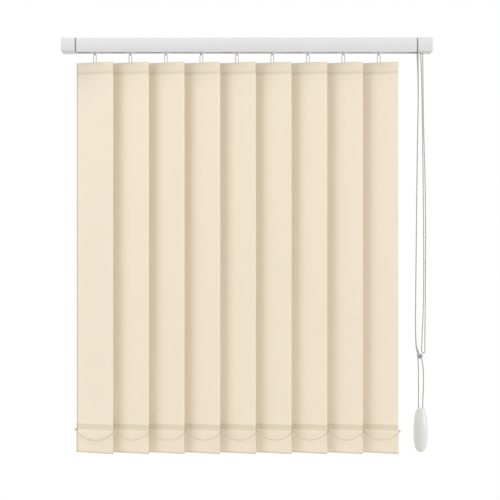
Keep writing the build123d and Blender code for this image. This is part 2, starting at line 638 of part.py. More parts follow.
def draw_cord_front():
    """Front strand of the draw cord with the knot that gathers both strands."""
    low, high = FRONT_ROUTE[7], REAR_ROUTE[8]
    middle = [(a + b) / 2 for a, b in zip(low, high)]
    half = KNOT_LENGTH / 2
    knot = bar_x((middle[0] - half, middle[0] + half), middle[1], middle[2], KNOT_RADIUS)
    for side in (-1, 1):
        knot += Pos(middle[0] + side * half, middle[1], middle[2]) * Sphere(KNOT_RADIUS)
    return hanging_tube(FRONT_ROUTE, CORD_RADIUS) + knot


def cord_weight():
    """Drop-shaped weight that both strands run into."""
    top = (WEIGHT_TOP_SHARE * WEIGHT_DROP_RADIUS, 0)
    outline = [(r * WEIGHT_DROP_RADIUS, -z * WEIGHT_DROP_LENGTH) for r, z in WEIGHT_OUTLINE_SHARES]
    foot = (0, -WEIGHT_DROP_LENGTH)
    curve = Spline(top, *outline, foot, tangents=[(1, -1), (-1, 0)])
    profile = make_face(curve + Polyline(foot, (0, 0), top))
    drop = revolve(Plane.XZ * profile, Axis.Z)
    drop = Pos(RAIL_END_X + DROP_X, DROP_Y, DROP_Z) * drop
    for x, y, end_z in (FRONT_ROUTE[-1], REAR_ROUTE[-1]):
        hole_z = (end_z - WEIGHT_HOLE_GAP, DROP_Z + OVERRUN)
        drop -= bar_z(x, y, hole_z, CORD_RADIUS + WEIGHT_HOLE_GAP)
    return drop


def tilt_chain():
    """Bead chain as a plain tube: over the sprocket inside the housing, and the loop that hangs from it."""
    front_y, rear_y = CHAIN_FRONT_EXIT[1], CHAIN_REAR_EXIT[1]
    top_z = ROD_Z + SPROCKET_PITCH
    turn = SPROCKET_PITCH - PULLEY_GROOVE_GAP / 2
    bend_z = ROD_Z - SPROCKET_PITCH - SPROCKET_RIM
    points = [
        CHAIN_FRONT_EXIT,
        (SPROCKET_X, front_y, bend_z),
        (SPROCKET_X, front_y, top_z),
        (SPROCKET_X, rear_y, top_z),
        (SPROCKET_X, rear_y, bend_z),
        CHAIN_REAR_EXIT,
    ]
    inner = tube(points, [SPROCKET_PITCH, turn, turn, SPROCKET_PITCH], TILT_CHAIN_RADIUS)
    return Compound([inner, hanging_tube(TILT_ROUTE, TILT_CHAIN_RADIUS)])


def all_pieces():
    """Every piece by its node name."""
    pieces = {
        "headrail": headrail(),
        "left_end_cap": left_end_cap(),
        "right_end_cap": right_end_cap(),
        "tilt_rod": tilt_rod(),
        "chain_sprocket": chain_sprocket(),
        "cord_pulley_front": cord_pulley(CORD_FRONT_Y),
        "cord_pulley_rear": cord_pulley(CORD_REAR_Y),
        "draw_cord_inner": draw_cord_inner(),
        "draw_cord_front": draw_cord_front(),
        "draw_cord_rear": hanging_tube(REAR_ROUTE, CORD_RADIUS),
        "cord_weight": cord_weight(),
        "tilt_chain": tilt_chain(),
        "front_bottom_chain": bottom_chain(1),
        "back_bottom_chain": bottom_chain(-1),
        "vane_1_end_chain": end_chain(),
    }
    for number in range(1, VANE_COUNT + 1):
        pieces[f"carrier_{number}"] = carrier(number)
        pieces[f"worm_{number}"] = worm(number)
        pieces[f"stem_{number}"] = stem(number)
        pieces[f"vane_{number}"] = vane(number)
        pieces[f"hanger_and_weight_{number}"] = hanger_and_weight(number)
    return pieces


os.makedirs("parts", exist_ok=True)
for name, piece in all_pieces().items():
    export_step(piece, os.path.join("parts", name + ".step"))
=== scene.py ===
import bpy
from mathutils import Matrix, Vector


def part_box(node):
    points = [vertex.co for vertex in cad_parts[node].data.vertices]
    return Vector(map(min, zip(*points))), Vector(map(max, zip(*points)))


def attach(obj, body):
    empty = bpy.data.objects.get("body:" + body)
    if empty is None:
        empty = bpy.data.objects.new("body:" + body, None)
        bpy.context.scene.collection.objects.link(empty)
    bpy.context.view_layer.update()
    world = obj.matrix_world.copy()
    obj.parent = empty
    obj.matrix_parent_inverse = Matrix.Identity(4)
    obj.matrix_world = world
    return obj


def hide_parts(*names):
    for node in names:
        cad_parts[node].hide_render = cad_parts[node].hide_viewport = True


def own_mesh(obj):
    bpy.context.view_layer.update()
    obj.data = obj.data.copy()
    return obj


bl_info = {
    "name": "Vertical blind",
    "version": (1, 0, 0),
    "blender": (4, 5, 0),
    "location": "View3D > Sidebar > Blind",
    "description": "Dresses the vertical blind with cloth vanes, bead chains, cords and finishes",
    "category": "Object",
}

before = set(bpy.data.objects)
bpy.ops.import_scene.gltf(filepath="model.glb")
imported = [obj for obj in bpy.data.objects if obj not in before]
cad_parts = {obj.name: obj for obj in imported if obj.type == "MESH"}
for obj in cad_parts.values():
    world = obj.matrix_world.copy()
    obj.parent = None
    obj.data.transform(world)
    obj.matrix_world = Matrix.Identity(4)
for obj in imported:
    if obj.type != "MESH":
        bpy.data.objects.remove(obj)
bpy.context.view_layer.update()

import math
import random

import bpy
from bpy.props import FloatProperty, FloatVectorProperty, IntProperty, PointerProperty
from mathutils import Vector

MM = 0.001
FULL_TURN = 2 * math.pi
SEED = 7
BLACK = (0.0, 0.0, 0.0, 1.0)
WHITE = (1.0, 1.0, 1.0, 1.0)
X_WAY = Vector((1, 0, 0))
Y_WAY = Vector((0, 1, 0))

# Places read from the frame
VANE_COUNT = sum(name.startswith("vane_") and name[5:].isdigit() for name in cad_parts)
NUMBERS = range(1, VANE_COUNT + 1)
RAIL_LOW, RAIL_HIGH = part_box("headrail")
RAIL_END = RAIL_HIGH[0]
RAIL_FOOT = RAIL_LOW[2]
VANE_BOXES = {number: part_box(f"vane_{number}") for number in NUMBERS}
HINGES = {number: (low[0] + high[0]) / 2 for number, (low, high) in VANE_BOXES.items()}
VANE_LOW, VANE_HIGH = VANE_BOXES[1]
VANE_TOP = VANE_HIGH[2]
VANE_FOOT = VANE_LOW[2]
DROP_LOW, DROP_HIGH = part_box("cord_weight")

# Turn of the vanes from the rail's plane at rest
REST_TILT = math.radians(18.0)

# Folded vane: its pockets and seams, how far its layers stand out, and its longest stretch of mesh
TOP_POCKET = 18.0 * MM
TOP_SEAM = 10.5 * MM
BOTTOM_POCKET = 52.8 * MM
BOTTOM_SEAM = 12.5 * MM
POCKET_STAND = 1.1 * MM
SEAM_STAND = 0.26 * MM
POCKET_SLOPE = 3.0 * MM
SEAM_Z = VANE_TOP - TOP_POCKET
HEM_Z = VANE_FOOT + BOTTOM_POCKET
LONGEST_RUN = 22.0 * MM

# Hanging cloth: the share of its height that is free to belly, and how its edges draw in at the seams
FREE_START = 0.04
FREE_SPAN = 0.88
SEAM_PULL_HEIGHT = 2.2 * MM
HEM_PULL_HEIGHT = 2.5 * MM
HEM_PULL = 0.6
POCKET_PULL = 0.7

# Bands on the cloth by height: low, high, softness and share of the deep tone; painted shade in the folds
# and the bottom crease, and partly painted shade at the pocket and seams
CLOTH_BANDS = {
    # Pocket and seams: the doubled cloth's own tone with some painted shade
    "top pocket": (SEAM_Z, VANE_TOP + TOP_POCKET, 1.0 * MM, 0.025),
    "top edge": (VANE_TOP - 1.5 * MM, VANE_TOP + TOP_POCKET, 1.0 * MM, 0.07),
    "top seam": (SEAM_Z - TOP_SEAM, SEAM_Z, 1.8 * MM, 0.05),
    # Painted shade in the fold below the top seam
    "top fold": (SEAM_Z - 8.0 * MM, SEAM_Z - 3.2 * MM, 2.2 * MM, 0.12),
    "top line": (SEAM_Z - 2 * TOP_SEAM, SEAM_Z - 2 * TOP_SEAM + 1.5 * MM, 0.7 * MM, 0.03),
    "bottom seam": (HEM_Z, HEM_Z + BOTTOM_SEAM, 1.0 * MM, 0.175),
    # Painted shade along the bottom crease
    "bottom crease": (VANE_FOOT - BOTTOM_POCKET, VANE_FOOT + 2.6 * MM, 2.6 * MM, 0.34),
}

# Bands along the cloth's upright edges: width, softness and share of the deep tone, below 0 if paler;
# painted shade at the far edge and a painted highlight at the near edge
FAR_EDGE_SHADE = (2.2 * MM, 0.5 * MM, 0.45)
NEAR_EDGE_HIGHLIGHT = (1.6 * MM, 0.5 * MM, -0.05)

# Knobs of the weight plates, the chain clips on them and the chains between
KNOB_REACH = 47.9 * MM
KNOB_CLEAR = 1.6 * MM
CLIP_Z = VANE_FOOT + 52.3 * MM
CLIP_RADIUS = 2.6 * MM
CLIP_BORE = 1.6 * MM
CLIP_SIDES = 16
CHAIN_STAND_OFF = 3.95 * MM
CHAIN_SAG = 20.0 * MM
THREAD_SHARE = 0.38

# Tilt chain, and its run over the sprocket
TILT_STEP = 1.5 * MM
SPROCKET_POCKETS = 7
SPROCKET_RIM = 1.6 * MM
SPROCKET_STEPS = 12

# Draw cord: its strands and its knot, and the mesh of the cord weight
STRANDS = 3
STRAND_SHARE = 0.54
TWIST_STEP = 1.1 * MM
KNOT_SIZE = 2.05 * MM
KNOT_DEPTH = 1.35
KNOT_HEIGHT = 0.85
DROP_SIDES = 48
DROP_TIP = 0.02 * MM
DROP_RIM = 0.8 * MM

# Headrail and caps: wall, lower edges, and the painted shade in the gap at each cap and over the lower half
RAIL_SKIN = 1.8 * MM
LIP_EDGE = 0.3 * MM
LIP_SOFT = 0.15 * MM
REAR_SOFT = 0.5 * MM
CAP_EDGE = 0.8 * MM
CAP_SOFT = 0.3 * MM
# Painted shade at each end of the rail reaches this far in from the end
SHADED_END = 1.7 * MM
CAP_GROOVE = 1.4 * MM
GAP_SOFT = 0.1 * MM
LOWER_SOFT = 13.0 * MM
LOWER_SHARE = 0.06

# Picture, and the floor under the blind
PICTURE = 500
SENSOR = 36.0
FLOOR_HEIGHT = VANE_FOOT - 0.29
FLOOR_HALF = 1.7
FLOOR_SPAN = (-2.2, 0.85)

# Lamps: place, what they shine at, and size
VANE_MIDDLE = (0.0, 0.0, (VANE_TOP + VANE_FOOT) / 2)
RAIL_MIDDLE = (0.0, 0.0, 0.0)
LAMPS = {
    "key": ((-2.0, -1.75, 0.2), VANE_MIDDLE, 1.5),
    "overhead": ((-0.85, -0.66, 2.15), RAIL_MIDDLE, 1.2),
    "side": ((2.6, -1.0, -0.4), VANE_MIDDLE, 1.2),
    "back": ((0.0, 2.6, 0.2), VANE_MIDDLE, 1.5),
}

# Routes of the free cords, with X counted from the rail's control end, in millimetres
FRONT_STRAND = [
    (2.0, -11.0, -32.1),
    (3.1, -10.9, -105.0),
    (1.9, -10.5, -185.0),
    (0.0, -9.9, -310.0),
    (-1.3, -9.2, -440.0),
    (-2.8, -8.5, -570.0),
    (-3.4, -7.6, -688.0),
    (1.5, -7.2, -708.0),
    (3.6, -6.6, -735.0),
    (3.9, -5.9, -780.0),
    (4.1, -5.5, -815.0),
    (4.1, -5.5, -876.0),
]
REAR_STRAND = [
    (2.0, 1.0, -32.1),
    (4.7, 0.9, -105.0),
    (3.4, 0.5, -185.0),
    (1.3, -0.2, -310.0),
    (-0.2, -1.2, -440.0),
    (-1.9, -2.4, -570.0),
    (-2.7, -3.6, -688.0),
    (4.0, -4.4, -708.0),
    (12.6, -4.9, -724.0),
    (15.4, -5.2, -752.0),
    (15.3, -5.4, -792.0),
    (13.1, -5.5, -818.0),
    (13.0, -5.5, -876.0),
]
TILT_LOOP = [
    (10.1, 4.4, -32.1),
    (12.6, 4.5, -85.0),
    (13.8, 4.9, -165.0),
    (15.8, 5.6, -290.0),
    (17.2, 6.5, -430.0),
    (17.7, 7.3, -560.0),
    (16.2, 7.9, -625.0),
    (14.4, 8.2, -665.0),
    (13.4, 8.3, -688.0),
    (13.1, 8.4, -701.0),
    (13.2, 8.5, -707.5),
    (15.3, 8.7, -710.5),
    (18.5, 8.9, -710.5),
    (20.6, 9.1, -707.5),
    (20.7, 9.2, -701.0),
    (20.5, 9.3, -688.0),
    (20.7, 9.5, -665.0),
    (21.3, 9.9, -625.0),
    (22.0, 10.6, -555.0),
    (22.8, 11.6, -430.0),
    (21.6, 12.6, -310.0),
    (17.6, 13.4, -185.0),
    (16.9, 13.9, -90.0),
    (16.1, 14.2, -32.1),
]
KNOT_PLACE = (7.05, -6.05, -716.0)

# Outline of the cord weight: radius as a share of the largest, depth as a share of the length
DROP_OUTLINE_SHARES = [
    (0.42, 0.0),
    (0.66, 0.07),
    (0.90, 0.26),
    (1.0, 0.565),
    (0.94, 0.76),
    (0.78, 0.89),
    (0.48, 0.975),
    (0.0, 1.0),
]


def srgb(red, green, blue):
    """Screen colour from 0 to 255 as the linear colour that shaders take."""
    linear = []
    for level in (red, green, blue):
        share = level / 255
        linear.append(share / 12.92 if share <= 0.04045 else ((share + 0.055) / 1.055) ** 2.4)
    return tuple(linear)


def placed(point):
    """Route point in millimetres from the rail's control end, in the frame in metres."""
    x, y, z = point
    return Vector((RAIL_END + x * MM, y * MM, z * MM))


def on_vane(number, across, out, height):
    """Point of a vane, from its place across the cloth and out towards the back, at rest."""
    x = HINGES[number] + across * math.cos(REST_TILT) + out * math.sin(REST_TILT)
    y = -across * math.sin(REST_TILT) + out * math.cos(REST_TILT)
    return Vector((x, y, height))


# Sizes and colours that a user would change


class BlindCloth(bpy.types.PropertyGroup):
    """Cloth of the vanes"""

    width: FloatProperty(
        name="Width", description="Width of a vane's cloth", default=90.0 * MM, unit="LENGTH"
    )
    thickness: FloatProperty(
        name="Thickness", description="Thickness of one layer", default=0.4 * MM, unit="LENGTH"
    )
    sway: FloatProperty(
        name="Sway", description="How far the hanging cloth bellies", default=0.45 * MM, unit="LENGTH"
    )
    thread: FloatProperty(
        name="Thread", description="Distance between threads", default=0.7 * MM, unit="LENGTH"
    )
    columns: IntProperty(name="Columns", description="Mesh columns across a vane", default=22, min=4)
    colour: FloatVectorProperty(
        name="Colour", description="Cream of the cloth", default=srgb(239, 226, 207), subtype="COLOR"
    )
    # Tone that the painted shade of the folds, crease and far edge goes towards, and the seams, which are
    # partly painted shade
    deep: FloatVectorProperty(
        name="Deep",
        description="Tone the cloth goes towards in folds and seams",
        default=srgb(122, 117, 10),
        subtype="COLOR",
    )


class BlindChains(bpy.types.PropertyGroup):
    """Bead chains"""

    bottom_bead: FloatProperty(
        name="Bottom bead", description="Radius of a bottom chain's bead", default=1.2 * MM, unit="LENGTH"
    )
    bottom_pitch: FloatProperty(
        name="Bottom pitch", description="Distance between bottom beads", default=3.2 * MM, unit="LENGTH"
    )
    tilt_bead: FloatProperty(
        name="Tilt bead", description="Radius of a tilt chain's bead", default=1.6 * MM, unit="LENGTH"
    )
    tilt_pitch: FloatProperty(
        name="Tilt pitch", description="Distance between tilt beads", default=4.4 * MM, unit="LENGTH"
    )
    bottom_colour: FloatVectorProperty(
        name="Bottom colour",
        description="Plastic of the bottom chains",
        default=srgb(200, 189, 171),
        subtype="COLOR",
    )
    # The end stretch is the bottom chains' plastic painted paler, painted light that offsets the shade it
    # lies in against the first vane
    end_painted_light_colour: FloatVectorProperty(
        name="End colour",
        description="Plastic of the last stretch",
        default=srgb(220, 209, 190),
        subtype="COLOR",
    )
    tilt_colour: FloatVectorProperty(
        name="Tilt colour",
        description="Plastic of the tilt chain",
        default=srgb(157, 158, 152),
        subtype="COLOR",
    )


class BlindCords(bpy.types.PropertyGroup):
    """Draw cord and its weight"""

    diameter: FloatProperty(
        name="Diameter", description="Draw cord's diameter", default=2.6 * MM, unit="LENGTH"
    )
    lay: FloatProperty(
        name="Lay", description="Length of one twist of its strands", default=7.0 * MM, unit="LENGTH"
    )
    colour: FloatVectorProperty(
        name="Cord colour", description="Yarn of the draw cord", default=srgb(168, 168, 164), subtype="COLOR"
    )
    weight_colour: FloatVectorProperty(
        name="Weight colour",
        description="Plastic of the cord weight",
        default=srgb(209, 210, 204),
        subtype="COLOR",
    )


class BlindRail(bpy.types.PropertyGroup):
    """Headrail, caps and the pieces inside"""

    paint: FloatVectorProperty(
        name="Paint", description="White of the headrail", default=srgb(220, 220, 221), subtype="COLOR"
    )
    cap: FloatVectorProperty(
        name="Caps", description="Plastic of the end caps", default=srgb(219, 219, 219), subtype="COLOR"
    )
    hook: FloatVectorProperty(
        name="Hooks",
        description="Plastic of the stems and hooks",
        default=srgb(190, 189, 185),
        subtype="COLOR",
    )
    inner: FloatVectorProperty(
        name="Carriers", description="Plastic of the carriers", default=srgb(228, 228, 225), subtype="COLOR"
    )
    gear: FloatVectorProperty(
        name="Gears",
        description="Plastic of worms, pulleys and sprocket",
        default=srgb(221, 222, 218),
        subtype="COLOR",
    )
    plate: FloatVectorProperty(
        name="Plates",
        description="Plastic of hangers and weight plates",
        default=srgb(226, 219, 205),
        subtype="COLOR",
    )
    metal: FloatVectorProperty(
        name="Rod",
        description="Drawn aluminium of the tilt rod",
        default=srgb(205, 206, 208),
        subtype="COLOR",
    )


class BlindStage(bpy.types.PropertyGroup):
    """Camera and light"""

    distance: FloatProperty(
        name="Distance", description="Camera to the row of vanes", default=2.7, unit="LENGTH"
    )
    aim_x: FloatProperty(
        name="Aim along", description="Camera's place along the rail", default=7.85 * MM, unit="LENGTH"
    )
    aim_z: FloatProperty(
        name="Aim height", description="Camera's height", default=-0.4769, unit="LENGTH"
    )
    focal: FloatProperty(
        name="Focal", description="Focal length in pixels of a 500 pixel picture", default=1196.0
    )
    ambient: FloatProperty(
        name="Ambient", description="Strength of the light from all round", default=0.635
    )
    key: FloatProperty(
        name="Key", description="Power of the key light", default=14.5, unit="POWER"
    )
    overhead: FloatProperty(
        name="Overhead", description="Power of the light from above", default=28.0, unit="POWER"
    )
    side: FloatProperty(
        name="Side", description="Power of the light from the controls' side", default=32.0, unit="POWER"
    )
    back: FloatProperty(
        name="Back", description="Power of the light from behind", default=18.0, unit="POWER"
    )
    floor: FloatVectorProperty(
        name="Floor", description="Pale floor", default=srgb(243, 243, 242), subtype="COLOR"
    )


# Shader maths


class Value:
    """A socket that Python's operators work on, each of which adds a Math node."""

    def __init__(self, nodes, socket):
        self.nodes = nodes
        self.socket = socket

    def __add__(self, other):
        return self.nodes.math("ADD", self, other)

    def __radd__(self, other):
        return self.nodes.math("ADD", other, self)

    def __sub__(self, other):
        return self.nodes.math("SUBTRACT", self, other)

    def __mul__(self, other):
        return self.nodes.math("MULTIPLY", self, other)


class Nodes:
    """Node tree, and the calls that add to it."""

    def __init__(self, tree):
        self.tree = tree

    def feed(self, socket, value):
        """Links a value to a socket, or sets it there."""
        if isinstance(value, Value):
            self.tree.links.new(value.socket, socket)
        else:
            socket.default_value = value

    def node(self, kind, settings=None, sockets=None, output=0):
        """Adds a node: its settings first, then its sockets, and gives one of its outputs."""
        made = self.tree.nodes.new(kind)
        for name, setting in (settings or {}).items():
            setattr(made, name, setting)
        for name, value in (sockets or {}).items():
            self.feed(made.inputs[name], value)
        return made if output is None else Value(self, made.outputs[output])

    def math(self, operation, *values):
        """Math node on values and numbers."""
        return self.node("ShaderNodeMath", {"operation": operation}, dict(enumerate(values)))

    def blend(self, share, first, second):
        """Colour between two colours."""
        sockets = {"Factor": share, 6: first, 7: second}
        return self.node("ShaderNodeMix", {"data_type": "RGBA"}, sockets, 2)


class Finish(Nodes):
    """Material that varies over a piece."""

    def __init__(self, name):
        self.material = bpy.data.materials.new(name)
        self.material.use_nodes = True
        super().__init__(self.material.node_tree)
        self.shader = self.tree.nodes["Principled BSDF"]

    def place(self, output="Object"):
        """Place on the piece, in metres from the frame's origin, or its UV."""
        return self.node("ShaderNodeTexCoord", output=output)

    def parts(self, vector):
        """The three numbers of a vector."""
        return [self.node("ShaderNodeSeparateXYZ", None, {0: vector}, axis) for axis in range(3)]

    def noise(self, scale, vector=None, detail=2.0):
        """Noise from 0 to 1."""
        sockets = {"Vector": vector or self.place(), "Scale": scale, "Detail": detail}
        return self.node("ShaderNodeTexNoise", None, sockets)

    def rise(self, value, level, soft):
        """0 below a level and 1 above it, with a soft step."""
        sockets = {"Value": value, "From Min": level - soft, "From Max": level + soft}
        return self.node("ShaderNodeMapRange", {"interpolation_type": "SMOOTHSTEP"}, sockets)

    def band(self, value, low, high, soft):
        """1 where a value lies between two limits, with soft ends."""
        return self.rise(value, low, soft) - self.rise(value, high, soft)

    def scaled(self, vector, factors):
        """Vector with each of its numbers multiplied."""
        return self.node("ShaderNodeVectorMath", {"operation": "MULTIPLY"}, {0: vector, 1: factors})

    def shaded(self, colour, lift, shade):
        """Colour lifted by a share and then taken towards black by a shade."""
        return self.blend(shade, tinted(colour, lift), BLACK)

    def bump(self, height, distance, strength):
        """Turns a height into the shader's normal."""
        sockets = {"Height": height, "Distance": distance, "Strength": strength}
        self.feed(self.shader.inputs["Normal"], self.node("ShaderNodeBump", None, sockets))

    def set(self, **values):
        """Sets or links the shader's own sockets, with spaces written as underscores."""
        for name, value in values.items():
            self.feed(self.shader.inputs[name.replace("_", " ")], value)


def tinted(colour, share=1.0):
    """Colour made lighter or darker by a share, with an alpha."""
    return tuple(min(1.0, level * share) for level in colour[:3]) + (1.0,)


# Finishes


def cloth_finish(cloth):
    """Cream plain weave with slubs, darker at its seams from doubled cloth and painted shade, with painted
    shade in its folds and at its far edge and a painted highlight at its near edge.
    """
    finish = Finish("cream_cloth")
    woven = finish.place("UV")
    across, down, _ = finish.parts(woven)
    height = finish.parts(finish.place())[2]
    turns = FULL_TURN / cloth.thread
    weave = finish.math("SINE", across * turns) * finish.math("SINE", down * turns)
    slub = finish.noise(scale=700.0, vector=finish.scaled(woven, (1.0, 0.06, 1.0)), detail=3.0)
    cloud = finish.noise(scale=9.0)
    shade = 0.03 + slub * 0.05 + cloud * 0.03
    # Height bands: painted shade in the folds and the bottom crease; the pocket and seams are partly the
    # doubled cloth's tone, partly painted shade
    for low, high, soft, share in CLOTH_BANDS.values():
        shade = shade + finish.band(height, low, high, soft) * share
    half = cloth.width / 2
    # Painted shade along the far edge and a painted highlight along the near edge
    edge, soft, share = FAR_EDGE_SHADE
    shade = shade + finish.band(across, -cloth.width, edge - half, soft) * share
    edge, soft, share = NEAR_EDGE_HIGHLIGHT
    shade = shade + finish.band(across, half - edge, cloth.width, soft) * share
    finish.set(Base_Color=finish.blend(shade, tinted(cloth.colour, 1.06), tinted(cloth.deep)))
    finish.set(Roughness=0.92, Specular_IOR_Level=0.18, Sheen_Weight=0.12, Sheen_Roughness=0.5)
    finish.bump(weave + slub * 2.0, distance=0.05 * MM, strength=0.6)
    return finish.material


def painted_rail_shade(finish, gap_start, gap_share):
    """Painted shade in the gap between rail and cap, from a place along the rail, and over the lower half.
    """
    along_rail, _, height = finish.parts(finish.place())
    gap = finish.band(finish.math("ABSOLUTE", along_rail), gap_start, RAIL_END + CAP_GROOVE, GAP_SOFT)
    lower = finish.band(height, 2 * RAIL_FOOT, RAIL_FOOT / 2, LOWER_SOFT)
    return gap * gap_share + lower * LOWER_SHARE


def powder_coat(name, colour):
    """Satin white paint with a fine skin, with painted shade at its ends, over its lower half and under the
    rear lip, and painted light on the faces inside.
    """
    finish = Finish(name)
    skin = finish.noise(scale=1400.0)
    cloud = finish.noise(scale=14.0)
    _, depth, height = finish.parts(finish.place())
    # Painted shade on the underside of the rear lip, and painted light on the faces inside the hollow
    underside_shade_band = finish.band(height, 2 * RAIL_FOOT, RAIL_FOOT + LIP_EDGE, LIP_SOFT)
    rear_lip_shade = underside_shade_band * finish.band(depth, 0.0, RAIL_HIGH[1], REAR_SOFT)
    hollow = finish.band(depth, RAIL_LOW[1] + RAIL_SKIN, RAIL_HIGH[1] - RAIL_SKIN, GAP_SOFT)
    inside = hollow * finish.band(height, RAIL_FOOT + LIP_EDGE, RAIL_HIGH[2] - RAIL_SKIN / 2, LIP_SOFT)
    # Painted shade at the rail's ends and over its lower half
    ends = painted_rail_shade(finish, gap_start=RAIL_END - SHADED_END, gap_share=0.55)
    painted = finish.shaded(colour, 1.02, skin * 0.02 + cloud * 0.02 + rear_lip_shade * 0.38 + ends)
    finish.set(Base_Color=finish.blend(inside, painted, tinted(colour, 1.3)))
    finish.set(Roughness=0.40 + skin * 0.08, Specular_IOR_Level=0.4)
    finish.bump(skin, distance=0.02 * MM, strength=0.5)
    return finish.material


def moulded(name, colour, roughness, cap=False):
    """Moulded plastic with a faint flow pattern; a cap has painted shade in its groove, along its lower edge
    and over its lower half.
    """
    finish = Finish(name)
    flow = finish.noise(scale=60.0, detail=3.0)
    grain = finish.noise(scale=2200.0)
    shade = flow * 0.05
    if cap:
        height = finish.parts(finish.place())[2]
        # Painted shade along the cap's lower edge, in its groove against the rail and over its lower half
        underside_shade_band = finish.band(height, 2 * RAIL_FOOT, RAIL_FOOT + CAP_EDGE, CAP_SOFT)
        shade = shade + underside_shade_band * 0.16 + painted_rail_shade(finish, gap_start=RAIL_END, gap_share=0.48)
    finish.set(Base_Color=finish.shaded(colour, 1.025, shade))
    finish.set(Roughness=roughness + grain * 0.08, Specular_IOR_Level=0.4)
    finish.bump(grain, distance=0.01 * MM, strength=0.4)
    return finish.material


def drawn_metal(name, colour):
    """Drawn rod with fine lines along its length."""
    finish = Finish(name)
    lines = finish.scaled(finish.place(), (0.01, 1.0, 1.0))
    streak = finish.noise(scale=2500.0, vector=lines, detail=3.0)
    finish.set(Base_Color=finish.shaded(colour, 1.05, streak * 0.2))
    finish.set(Metallic=1.0, Roughness=0.28 + streak * 0.15)
    return finish.material


def yarn_finish(name, colour):
    """Spun yarn: fine fibres and a soft surface."""
    finish = Finish(name)
    fibre = finish.noise(scale=2600.0, detail=3.0)
    slub = finish.noise(scale=160.0)
    finish.set(Base_Color=finish.shaded(colour, 1.05, fibre * 0.16 + slub * 0.05))
    finish.set(Roughness=0.85, Specular_IOR_Level=0.2, Sheen_Weight=0.15)
    finish.bump(fibre, distance=0.06 * MM, strength=0.6)
    return finish.material


# Shapes


class Shape:
    """Points, faces and cloth places of one piece while it is made."""

    def __init__(self):
        self.points = []
        self.faces = []
        self.places = []

    def skin(self, rows, places=None):
        """Skin over rows of points, each row a closed ring."""
        start = len(self.points)
        width = len(rows[0])
        for row in rows:
            self.points.extend(row)
        if places:
            self.places.extend(places)
        for row in range(len(rows) - 1):
            for column in range(width):
                after = (column + 1) % width
                low, high = start + row * width, start + (row + 1) * width
                self.faces.append((low + column, low + after, high + after, high + column))
        return start

    def lids(self, start, rows, width):
        """Closes both ends of a skin of rings."""
        last = start + (rows - 1) * width
        self.faces.append(tuple(start + column for column in reversed(range(width))))
        self.faces.append(tuple(last + column for column in range(width)))

    def bead(self, middle, radius, rings=6, sides=10, flat=0.04):
        """Ball with flat ends too small to see."""
        rows = []
        for ring in range(rings + 1):
            polar = math.pi * (flat + (1 - 2 * flat) * ring / rings)
            level = middle + Vector((0.0, 0.0, -radius * math.cos(polar)))
            rows.append(circle(level, X_WAY, Y_WAY, radius * math.sin(polar), sides))
        self.lids(self.skin(rows), len(rows), sides)

    def tube(self, line, radius, sides=6):
        """Round tube along a line."""
        rows = [circle(point, side, up, radius, sides) for point, side, up in along(line)]
        self.lids(self.skin(rows), len(rows), sides)

    def piece(self, name, material, sharp=math.radians(40)):
        """The finished object."""
        mesh = bpy.data.meshes.new(name)
        mesh.from_pydata(self.points, [], self.faces)
        mesh.validate()
        if self.places:
            layer = mesh.uv_layers.new(name="cloth")
            for loop in mesh.loops:
                layer.data[loop.index].uv = self.places[loop.vertex_index]
        mesh.shade_smooth()
        mesh.set_sharp_from_angle(angle=sharp)
        mesh.materials.append(material)
        made = bpy.data.objects.new(name, mesh)
        bpy.context.collection.objects.link(made)
        return made


def circle(middle, side, up, radius, count):
    """Ring of points round a middle."""
    ring = []
    for number in range(count):
        turn = FULL_TURN * number / count
        ring.append(middle + (side * math.cos(turn) + up * math.sin(turn)) * radius)
    return ring


def along(line):
    """Each point of a line with two directions across it that turn as little as they can."""
    frames = []
    side = None
    for number, point in enumerate(line):
        ahead = line[min(number + 1, len(line) - 1)]
        behind = line[max(number - 1, 0)]
        forward = (ahead - behind).normalized()
        if side is None:
            guide = Y_WAY if abs(forward.y) < 0.9 else X_WAY
            side = forward.cross(guide).normalized()
        side = (side - forward * side.dot(forward)).normalized()
        frames.append((point, side, forward.cross(side)))
    return frames


def line_length(line):
    """Length of a line of points."""
    return sum((after - here).length for here, after in zip(line, line[1:]))


def even_points(line, step):
    """Points along a line at even steps close to the one asked for, both ends included."""
    total = line_length(line)
    count = max(1, round(total / step))
    spots = [total * number / count for number in range(count + 1)]
    found = []
    passed = 0.0
    run = 0
    for spot in spots:
        while run < len(line) - 2 and passed + (line[run + 1] - line[run]).length < spot:
            passed += (line[run + 1] - line[run]).length
            run += 1
        stretch = (line[run + 1] - line[run]).length
        found.append(line[run].lerp(line[run + 1], min(1.0, (spot - passed) / stretch)))
    return found


def smooth_route(name, points):
    """Points read along the smooth spline that a cord's route controls."""
    curve = bpy.data.curves.new(name, "CURVE")
    curve.dimensions = "3D"
    curve.resolution_u = 24
    spline = curve.splines.new("NURBS")
    spline.points.add(len(points) - 1)
    for knot, point in zip(spline.points, points):
        knot.co = (*placed(point), 1.0)
    spline.order_u = 3
    spline.use_endpoint_u = True
    holder = bpy.data.objects.new(name, curve)
    bpy.context.collection.objects.link(holder)
    mesh = bpy.data.meshes.new_from_object(holder)
    line = [vertex.co.copy() for vertex in mesh.vertices]
    bpy.data.objects.remove(holder)
    bpy.data.meshes.remove(mesh)
    return line


def dress(names, material):
    """Gives a finish to CAD nodes that show as they are."""
    for name in names:
        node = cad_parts[name]
        node.data.materials.clear()
        node.data.materials.append(material)


# Vanes


def fold(level, stand, steps=8):
    """Half turn of cloth about a height, from one stand to its opposite; a negative stand turns below."""
    points = []
    for number in range(steps + 1):
        turn = math.pi * number / steps
        points.append((stand * math.cos(turn), level + stand * math.sin(turn)))
    return points


